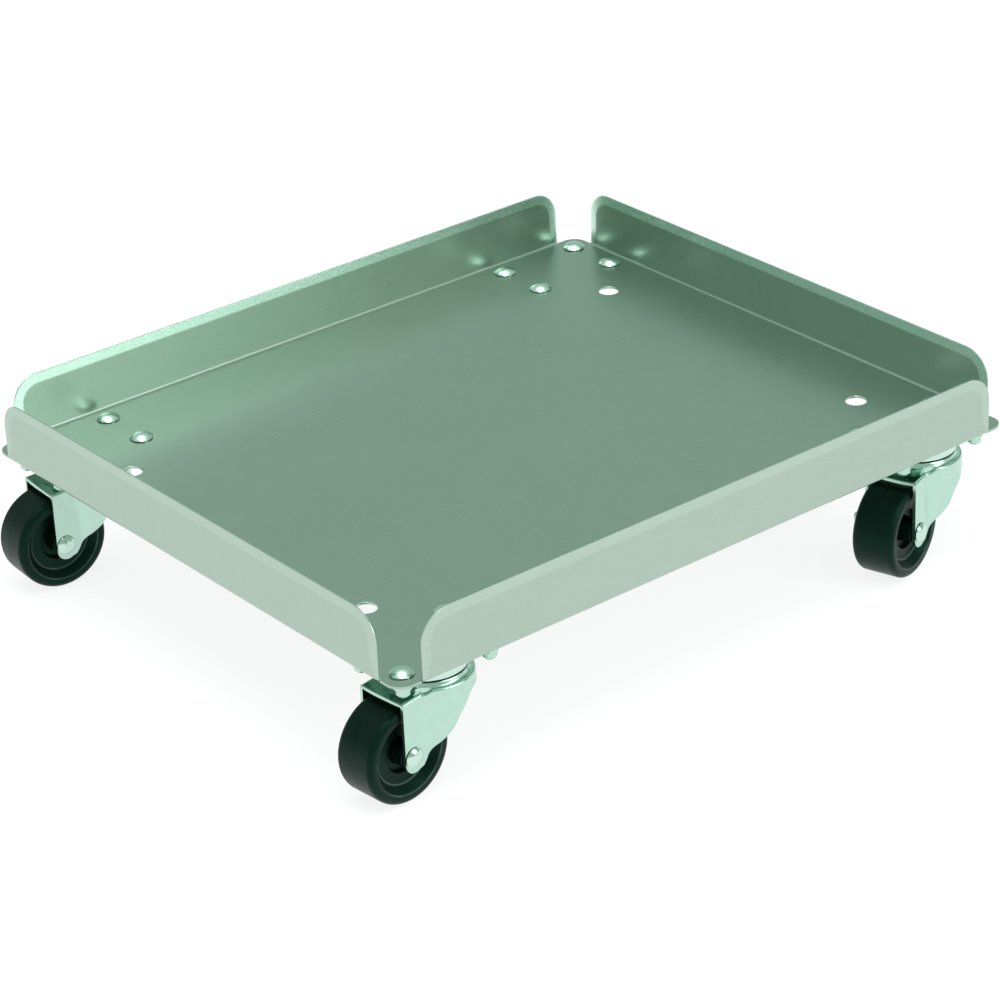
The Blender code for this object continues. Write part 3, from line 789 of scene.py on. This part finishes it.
def nut_mesh(hex_height, collar_height, collar_radius):
    """Hexagon lock nut with chamfered corners and a round insert collar below it."""
    hexagon = [(NUT_RADIUS * math.cos(math.radians(60 * i)),
                NUT_RADIUS * math.sin(math.radians(60 * i))) for i in range(6)]
    low = -hex_height
    body = bevelled(prism(hexagon, low, 0), 0.00025, 30)
    big = NUT_RADIUS + 0.0002
    chamfers = [(0, 0.001), (big - 0.0016, 0.001), (big - 0.0012, 0), (big, -0.0008),
                (big, low + 0.0010), (big - 0.0018, low), (big - 0.0022, low - 0.001),
                (0, low - 0.001)]
    end = low - collar_height
    crown = [(0, -0.002), (collar_radius + 0.0004, -0.002),
             (collar_radius + 0.0004, low + 0.0002), (collar_radius + 0.0001, low - 0.0005)]
    crown += arc((collar_radius - 0.0012, end + 0.0012), 0.0012, 0, -80, 4)
    crown += [(BOLT_RADIUS + 0.0004, end), (0, end)]
    bore = cylinder(BOLT_RADIUS + 0.0002, end - 0.001, 0.001, 32)
    return shade(combined(body, ("INTERSECT", turned(chamfers, SMALL_SIDES, closed=False)),
                          ("UNION", turned(crown, SMALL_SIDES, closed=False)),
                          ("DIFFERENCE", bore)), 30)


# ---------------------------------------------------------------- swivel

def plate_outline():
    radius = PLATE_CORNER_RADIUS
    x = PLATE_LENGTH / 2 - radius
    y = PLATE_WIDTH / 2 - radius
    return (arc((x, y), radius, 0, 90, 10) + arc((-x, y), radius, 90, 180, 10)
            + arc((-x, -y), radius, 180, 270, 10) + arc((x, -y), radius, 270, 360, 10))


def top_plate_mesh(top):
    """Bolted plate with the upper ball race pressed down out of it; heights are above the ground."""
    low = top - PLATE_THICKNESS
    holes = [arc((x, y), BOLT_HOLE_RADIUS, 0, 348.75, 31) for x, y in local_bolt_places()]
    plate = bevelled(prism(plate_outline(), low, top, holes), 0.0003, 40)
    rim = RACE_CUP_RADIUS
    end = RACE_CUP_BOTTOM
    cup = [(0, top - 0.001), (rim + 0.0030, top - 0.001), (rim + 0.0026, low - 0.0002),
           (rim + 0.0016, low - 0.0008), (rim + 0.0008, low - 0.0018), (rim + 0.0003, low - 0.0040),
           (rim, end + 0.0008), (rim - 0.0003, end + 0.0002), (rim - 0.0009, end),
           (rim - 0.0022, end), (rim - 0.0028, end + 0.0006), (rim - 0.0036, RACE_TOP),
           (0, RACE_TOP)]
    floor = RACE_TOP + PLATE_THICKNESS
    recess = [(0, top + 0.001), (rim + 0.0004, top + 0.001), (rim - 0.0008, top - 0.0006),
              (rim - 0.0018, top - 0.0020), (rim - 0.0040, floor + 0.0006), (rim - 0.0052, floor),
              (0, floor)]
    bore = cylinder(KINGPIN_HOLE_RADIUS, RACE_TOP - 0.01, top + 0.01, SMALL_SIDES)
    return shade(combined(plate, ("UNION", turned(cup, RACE_SIDES, closed=False)),
                          ("DIFFERENCE", turned(recess, RACE_SIDES, closed=False)),
                          ("DIFFERENCE", bore)), 30)


def ball_ring_mesh():
    """A full set of race balls held in a flat cage ring."""
    middle = (RACE_TOP + RACE_FLOOR) / 2
    outer = BALL_CIRCLE + CAGE_HALF_WIDTH
    inner = BALL_CIRCLE - CAGE_HALF_WIDTH
    high = middle + CAGE_HALF_HEIGHT
    low = middle - CAGE_HALF_HEIGHT
    ring = turned([(outer, high), (outer, low), (inner, low), (inner, high)], CAGE_SIDES)
    form = bmesh.new()
    for i in range(BALL_COUNT):
        angle = 2 * math.pi * (i + 0.5) / BALL_COUNT
        centre = (BALL_CIRCLE * math.cos(angle), BALL_CIRCLE * math.sin(angle), middle)
        bmesh.ops.create_uvsphere(form, u_segments=20, v_segments=12, radius=BALL_RADIUS,
                                  matrix=Matrix.Translation(centre))
    balls = bpy.data.meshes.new("balls")
    form.to_mesh(balls)
    form.free()
    return shade(combined(ring, ("UNION", balls)), 35)


def kingpin_mesh():
    """Rivet that ties the yoke to the top plate, with a spun head at both ends."""
    low = RACE_FLOOR - YOKE_SHEET - GAP
    high = RACE_TOP + PLATE_THICKNESS + GAP
    head = dome(KINGPIN_HEAD_RADIUS, KINGPIN_HEAD_HEIGHT, 0.0006, 12)
    head.append((KINGPIN_HEAD_RADIUS - 0.0002, 0.0))
    upper = [(r, high + z) for r, z in head]
    lower = [(r, low - z) for r, z in reversed(head)]
    profile = upper + [(KINGPIN_RADIUS, high), (KINGPIN_RADIUS, low)] + lower
    return shade(turned(profile, SMALL_SIDES, closed=False), 30)


# ---------------------------------------------------------------- yoke

def half_plan(controls, skirt_radius):
    """Half of the fork's plan, from behind the wheel round to the front of the skirt."""
    rear = YOKE_REAR + YOKE_TRIM
    corner = YOKE_PLAN_CORNER
    points = [(rear, YOKE_HALF * i / 6 * 0.72) for i in range(6)]
    points += arc((rear - corner, YOKE_HALF - corner), corner, 0, 90, 5)
    straight = controls[0][0]
    points += [(rear - corner + (straight - rear + corner) * i / 8, YOKE_HALF) for i in range(1, 8)]
    first = arc((0, 0), skirt_radius, 100, 112, 1)
    points += spline(controls + first, 4)[:-1]
    points += arc((0, 0), skirt_radius, 112, 180, 16)
    return points


def full_plan(controls, skirt_radius):
    """The fork's whole plan, mirrored about its middle."""
    half = half_plan(controls, skirt_radius)
    return half + [(x, -y) for x, y in reversed(half[1:-1])]


def moved_in(outline, inset):
    """The outline moved inward along its own normals."""
    count = len(outline)
    result = []
    for i, (x, y) in enumerate(outline):
        ahead = Vector(outline[(i + 1) % count])
        behind = Vector(outline[i - 1])
        run = (ahead - behind).normalized()
        result.append((x - run.y * inset, y + run.x * inset))
    return result


def yoke_shell():
    """The pressed fork before trimming: walls, rounded shoulder, web, cove, race and underside."""
    lower = full_plan(LOWER_FLARE, LOWER_SKIRT_RADIUS)
    upper = full_plan(UPPER_FLARE, UPPER_SKIRT_RADIUS)

    def plan(z, inset):
        """The wall's plan at one height: the lower plan, turning into the upper one."""
        share = smoothstep(z, *WALL_TURN)
        low = moved_in(lower, inset)
        high = moved_in(upper, inset)
        return [(a[0] + (b[0] - a[0]) * share, a[1] + (b[1] - a[1]) * share) for a, b in zip(low, high)]

    tops = []
    for x, _ in upper:
        low = WEB_TOP + WEB_RISE * smoothstep(-x, -YOKE_REAR, -0.0240)
        tops.append(low + (RIM_TOP - low) * smoothstep(-x, -0.0250, -0.0185))

    def sag(x, y):
        """How far the web dips toward the middle of its rear edge."""
        across = max(0.0, 1 - (y / YOKE_HALF) ** 2)
        return WEB_SAG * across * smoothstep(x, 0.026, 0.046)

    def raised(radius, top, foot, crest, share=1.0):
        """Height of the cove that climbs from the web at radius foot to the rim at radius crest."""
        return top + (RIM_TOP - 0.0001 - top) * smoothstep(-radius, -foot, -crest) * share

    rings = []
    for z in WALL_HEIGHTS:
        rings.append([(x, y, z) for x, y in plan(z, 0.0)])
    for k in range(8):
        angle = math.radians(90 * k / 7)
        inset = SHOULDER_OUT * (1 - math.cos(angle))
        drop = SHOULDER_OUT * (1 - math.sin(angle))
        ring = plan(WEB_TOP, inset)
        rings.append([(x, y, top - drop - sag(x, y)) for (x, y), top in zip(ring, tops)])
    start = [(x, y) for x, y, _ in rings[-1]]
    angles = [math.atan2(y, x) for x, y in start]
    for k in range(1, 17):
        share = k / 16
        ring = []
        for (x, y), turn, top in zip(start, angles, tops):
            cx = x + (COVE_END * math.cos(turn) - x) * share
            cy = y + (COVE_END * math.sin(turn) - y) * share
            away = smoothstep(math.hypot(cx - x, cy - y), 0.0003, 0.0016)
            height = raised(math.hypot(cx, cy), top, *COVE_OUT, away)
            ring.append((cx, cy, height - sag(cx, cy)))
        rings.append(ring)
    for radius, z in RACE:
        rings.append([(radius * math.cos(turn), radius * math.sin(turn), z) for turn in angles])
    under = plan(WEB_TOP, YOKE_SHEET + SHOULDER_IN)
    for k in range(1, 9):
        share = k / 8
        ring = []
        for (x, y), turn, top in zip(under, angles, tops):
            cx = UNDERSIDE_START * math.cos(turn)
            cy = UNDERSIDE_START * math.sin(turn)
            cx, cy = cx + (x - cx) * share, cy + (y - cy) * share
            height = raised(math.hypot(cx, cy), top, *COVE_IN) - YOKE_SHEET - sag(cx, cy)
            ring.append((cx, cy, min(height, UNDERSIDE_TOP)))
        rings.append(ring)
    for k in range(1, 4):
        angle = math.radians(90 - 90 * k / 3)
        inset = YOKE_SHEET + SHOULDER_IN * (1 - math.cos(angle))
        drop = SHOULDER_IN * (1 - math.sin(angle))
        ring = plan(WEB_TOP, inset)
        rings.append([(x, y, min(top - sag(x, y) - YOKE_SHEET, UNDERSIDE_TOP) - drop)
                      for (x, y), top in zip(ring, tops)])
    for z in reversed(WALL_HEIGHTS[:-1]):
        rings.append([(x, y, z) for x, y in plan(z, YOKE_SHEET)])
    return loft(rings)


def loft(rings):
    """Closed skin over a ring of rings."""
    form = bmesh.new()
    rows = [[form.verts.new(point) for point in ring] for ring in rings]
    count = len(rings[0])
    for row, after in zip(rows, rows[1:] + rows[:1]):
        for i in range(count):
            j = (i + 1) % count
            form.faces.new((row[i], row[j], after[j], after[i]))
    bmesh.ops.recalc_face_normals(form, faces=form.faces)
    mesh = bpy.data.meshes.new("loft")
    form.to_mesh(mesh)
    form.free()
    return mesh


def side_outline():
    """The fork's side view: X toward the wheel, Z up."""
    leg_end = (YOKE_REAR - LEG_END_RADIUS, LEG_BOTTOM + LEG_END_RADIUS)
    outline = [(YOKE_REAR - 0.0012, 0.0950), (-0.040, 0.0950), (-0.040, 0.0779), (-0.030, 0.0779)]
    outline += spline(THROAT, 6)
    outline += arc(leg_end, LEG_END_RADIUS, 238, 360, 20)
    outline += [(YOKE_REAR, 0.0600), (YOKE_REAR, 0.0812), (YOKE_REAR - 0.0003, 0.0826),
                (YOKE_REAR - 0.0012, 0.0842)]
    return outline


def yoke_mesh():
    """The fork: its shell trimmed to the side view and drilled for the axle, with the level web marked
    for painted shade.
    """
    side = prism(side_outline(), -0.05, 0.05)
    side.transform(Matrix.Rotation(math.radians(90), 4, "X"))
    hole = lay_along_y(cylinder(AXLE_HOLE_RADIUS, -0.03, 0.03, SMALL_SIDES))
    hole.transform(Matrix.Translation((TRAIL, 0, WHEEL_RADIUS)))
    mesh = shade(combined(yoke_shell(), ("INTERSECT", side), ("DIFFERENCE", hole)), 32)
    # Mark the level, upward-facing web for painted shade
    mark = mesh.attributes.new("painted_shade", "FLOAT", "POINT")
    for index, vertex in enumerate(mesh.vertices):
        x, y, z = vertex.co
        inside = 1 - smoothstep(abs(y), *SHADE_SIDE)
        level = smoothstep(vertex.normal.z, 0.2, 0.6)
        if math.hypot(x, y) > SHADE_RADIUS and x > 0:
            mark.data[index].value = inside * level * (1 - smoothstep(z, *SHADE_TOP))
    return mesh


# ---------------------------------------------------------------- axle and wheel

def axle_mesh():
    """Axle bolt: a domed head outside one leg, a lock nut and the thread end outside the other."""
    seat = YOKE_HALF + GAP
    profile = [(r, seat + z) for r, z in dome(AXLE_HEAD_RADIUS, AXLE_HEAD_HEIGHT, 0.0005, 16)]
    profile += [(AXLE_HEAD_RADIUS - 0.0002, seat), (AXLE_RADIUS, seat), (AXLE_RADIUS, -seat)]
    profile += thread(AXLE_RADIUS, AXLE_THREAD_DEPTH, -seat, 0.0016 - AXLE_THREAD_END)
    profile += [(AXLE_RADIUS - 0.0007, -AXLE_THREAD_END), (0, -AXLE_THREAD_END)]
    nut = nut_mesh(AXLE_NUT_HEX_HEIGHT, AXLE_NUT_COLLAR_HEIGHT, AXLE_NUT_COLLAR_RADIUS)
    nut.transform(Matrix.Translation((0, 0, -seat)))
    return shade(lay_along_y(joined(turned(profile, AXLE_SIDES, closed=False), nut)), 30)


def wheel_mesh():
    """Solid moulded wheel: rounded shoulders, dished faces in two steps, and a hub."""
    shoulder = arc((WHEEL_RADIUS - WHEEL_SHOULDER, WHEEL_HALF - WHEEL_SHOULDER), WHEEL_SHOULDER,
                   90, 0, 10)
    parting_line = [(WHEEL_RADIUS, 0.0012), (WHEEL_RADIUS, 0.0003), (WHEEL_RADIUS - 0.00012, 0.0)]
    upper = WHEEL_FACE + shoulder + parting_line
    profile = upper + [(radius, -height) for radius, height in reversed(upper[:-1])]
    mesh = shade(lay_along_y(turned(profile, WHEEL_SIDES)), 40)
    # Mark the rim's inner edge and the dish's fillet for painted highlights
    mark = mesh.attributes.new("edge", "FLOAT", "POINT")
    for index, vertex in enumerate(mesh.vertices):
        radius = math.hypot(vertex.co.x, vertex.co.z)
        if any(low < radius < high for low, high in HIGHLIGHT_RINGS):
            mark.data[index].value = 1.0
    return mesh


# ---------------------------------------------------------------- assembly

def piece(name, mesh, made, body, nodes, location=(0, 0, 0), turn=0.0):
    """One visible piece: a copy of the mesh, turned about Z, riding on a body in place of its nodes."""
    mesh = mesh.copy()
    mesh.transform(Matrix.Rotation(turn, 4, "Z"))
    mesh.materials.clear()
    mesh.materials.append(made)
    obj = new_object(name, mesh)
    obj.location = location
    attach(obj, body)
    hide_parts(*nodes)
    return obj


def build_dolly():
    """Make every visible piece. The four casters share their meshes."""
    satin, zinc, bright = satin_sheet(), zinc_plate(), bright_zinc()
    steel, plastic = bearing_steel(), wheel_plastic()
    tray = tray_mesh()
    piece("fine_tray", tray, satin, "tray_frame", ["tray"], (TRAY_X, 0, 0))
    bolt_low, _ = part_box("bolt_front_left_1")
    nut_low, nut_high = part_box("nut_front_left_1")
    _, plate_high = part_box("top_plate_front_left")
    hex_height = nut_high.z - nut_low.z - NUT_COLLAR_HEIGHT
    bolt = bolt_mesh(bolt_low.z - DECK_TOP)
    nut = nut_mesh(hex_height, NUT_COLLAR_HEIGHT, NUT_COLLAR_RADIUS)
    plate, kingpin, ring = top_plate_mesh(plate_high.z), kingpin_mesh(), ball_ring_mesh()
    yoke, axle, wheel = yoke_mesh(), axle_mesh(), wheel_mesh()
    for index, corner in enumerate(CORNERS):
        axis, turn = swivel_place(corner)
        swivel = (axis.x, axis.y, 0)
        for number in (1, 2, 3, 4):
            place = box_centre(f"bolt_{corner}_{number}")
            bolt_turn = index + number * 1.3
            nut_turn = math.radians(17 * number + 29 * index)
            piece(f"fine_bolt_{corner}_{number}", bolt, bright, "tray_frame",
                  [f"bolt_{corner}_{number}"], (place.x, place.y, DECK_TOP), bolt_turn)
            piece(f"fine_nut_{corner}_{number}", nut, zinc, "tray_frame",
                  [f"nut_{corner}_{number}"], (place.x, place.y, nut_high.z), nut_turn)
        piece(f"fine_top_plate_{corner}", plate, bright, "tray_frame",
              [f"top_plate_{corner}"], swivel)
        piece(f"fine_kingpin_{corner}", kingpin, steel, "tray_frame",
              [f"kingpin_{corner}"], swivel)
        body = f"swivel_{corner}"
        piece(f"fine_ball_ring_{corner}", ring, steel, body,
              [f"ball_ring_{corner}"], swivel, turn)
        piece(f"fine_yoke_{corner}", yoke, zinc, body, [f"yoke_{corner}"], swivel, turn)
        hub = (axis.x + TRAIL * math.cos(turn), axis.y + TRAIL * math.sin(turn), WHEEL_RADIUS)
        piece(f"fine_axle_{corner}", axle, bright, body, [f"axle_{corner}"], hub, turn)
        piece(f"fine_wheel_{corner}", wheel, plastic, f"wheel_{corner}_body",
              [f"wheel_{corner}"], hub, turn)


# ---------------------------------------------------------------- camera, floor and light

CAMERA_PLACE = Vector((-1.233024, -1.693008, 1.22466))     # from the deck's near corner
CAMERA_YAW = math.radians(38.1385)
CAMERA_PITCH = math.radians(27.3116)
CAMERA_ROLL = -0.0454
CAMERA_LENS = 127.16
FLOOR_RADIUS = 14
FLOOR_GREY = (0.22, 0.22, 0.22)
FLOOR_GLOW = 0.84                  # lifts the floor to the photo's near-white
# The sky's colour at each height, from the horizon (0) to overhead (1)
SKY = [(0.0, (0.72, 0.78, 0.75)), (0.12, (0.52, 0.59, 0.55)), (0.28, (0.41, 0.54, 0.485)),
       (0.52, (0.41, 0.54, 0.485)), (0.70, (0.52, 0.62, 0.57)), (0.88, (0.80, 0.88, 0.83)),
       (0.95, (1.7, 1.75, 1.7)), (1.0, (1.9, 1.9, 1.9))]
# Each light's name, place, aim, size and power in watts
LIGHTS = [("overhead", (-0.6, -0.9, 3.0), (0, 0, 0.1), (1.8, 1.4), 30),
          ("front", (0.9, -3.0, 1.9), (0, 0, 0.1), (1.6, 1.6), 18),
          ("side", (0.84, -1.80, 0.60), (0, -0.1, 0.1), (0.9, 0.6), 3.2),
          ("fill", (0.20, -0.95, 0.90), (-0.1, 0.2, 0.1), (0.9, 0.5), 0.5)]


def add_camera():
    """The photo's camera, solved from the tray's edges, fold lines and holes."""
    forward = Vector((math.sin(CAMERA_YAW) * math.cos(CAMERA_PITCH),
                      math.cos(CAMERA_YAW) * math.cos(CAMERA_PITCH), -math.sin(CAMERA_PITCH)))
    level = forward.cross(Vector((0, 0, 1))).normalized()
    above = level.cross(forward)
    right = math.cos(CAMERA_ROLL) * level + math.sin(CAMERA_ROLL) * above
    up = math.cos(CAMERA_ROLL) * above - math.sin(CAMERA_ROLL) * level
    data = bpy.data.cameras.new("camera")
    data.lens = CAMERA_LENS
    data.sensor_width = 36
    camera = new_object("camera", data)
    turn = Matrix((right, up, -forward)).transposed().to_4x4()
    place = CAMERA_PLACE + Vector((TRAY_X - TRAY_LENGTH / 2, -TRAY_WIDTH / 2, DECK_TOP))
    camera.matrix_world = Matrix.Translation(place) @ turn
    bpy.context.scene.camera = camera


def add_floor():
    """A round, pale, matte floor."""
    made, shader = material("floor", FLOOR_GREY, 0.9, 0.0)
    shader.inputs["Emission Color"].default_value = (1.0, 1.0, 1.0, 1.0)
    shader.inputs["Emission Strength"].default_value = FLOOR_GLOW
    shader.inputs["Specular IOR Level"].default_value = 0.0
    form = bmesh.new()
    bmesh.ops.create_circle(form, cap_ends=True, segments=96, radius=FLOOR_RADIUS)
    mesh = bpy.data.meshes.new("floor")
    form.to_mesh(mesh)
    form.free()
    mesh.materials.append(made)
    new_object("floor", mesh)


def add_world():
    """A plain studio dome: pale at the horizon, dim at half height, bright overhead."""
    world = bpy.data.worlds.new("studio")
    world.use_nodes = True
    bpy.context.scene.world = world
    tree = world.node_tree
    background = tree.nodes["Background"]
    where = tree.nodes.new("ShaderNodeTexCoord")
    split = tree.nodes.new("ShaderNodeSeparateXYZ")
    ramp = tree.nodes.new("ShaderNodeValToRGB")
    elements = ramp.color_ramp.elements
    while len(elements) < len(SKY):
        elements.new(1.0)
    for element, (height, colour) in zip(elements, SKY):
        element.position = height
        element.color = (*colour, 1.0)
    tree.links.new(where.outputs["Generated"], split.inputs["Vector"])
    tree.links.new(split.outputs["Z"], ramp.inputs["Fac"])
    tree.links.new(ramp.outputs["Color"], background.inputs["Color"])
    background.inputs["Strength"].default_value = 1.0


def add_lights():
    """White softboxes."""
    for name, place, aim, size, power in LIGHTS:
        data = bpy.data.lights.new(name, "AREA")
        data.shape = "RECTANGLE"
        data.size, data.size_y = size
        data.energy = power
        light = new_object(name, data)
        light.location = place
        direction = Vector(aim) - Vector(place)
        light.rotation_euler = direction.to_track_quat("-Z", "Y").to_euler()


bpy.context.scene.view_settings.view_transform = "Standard"
add_camera()
add_floor()
add_world()
add_lights()
build_dolly()
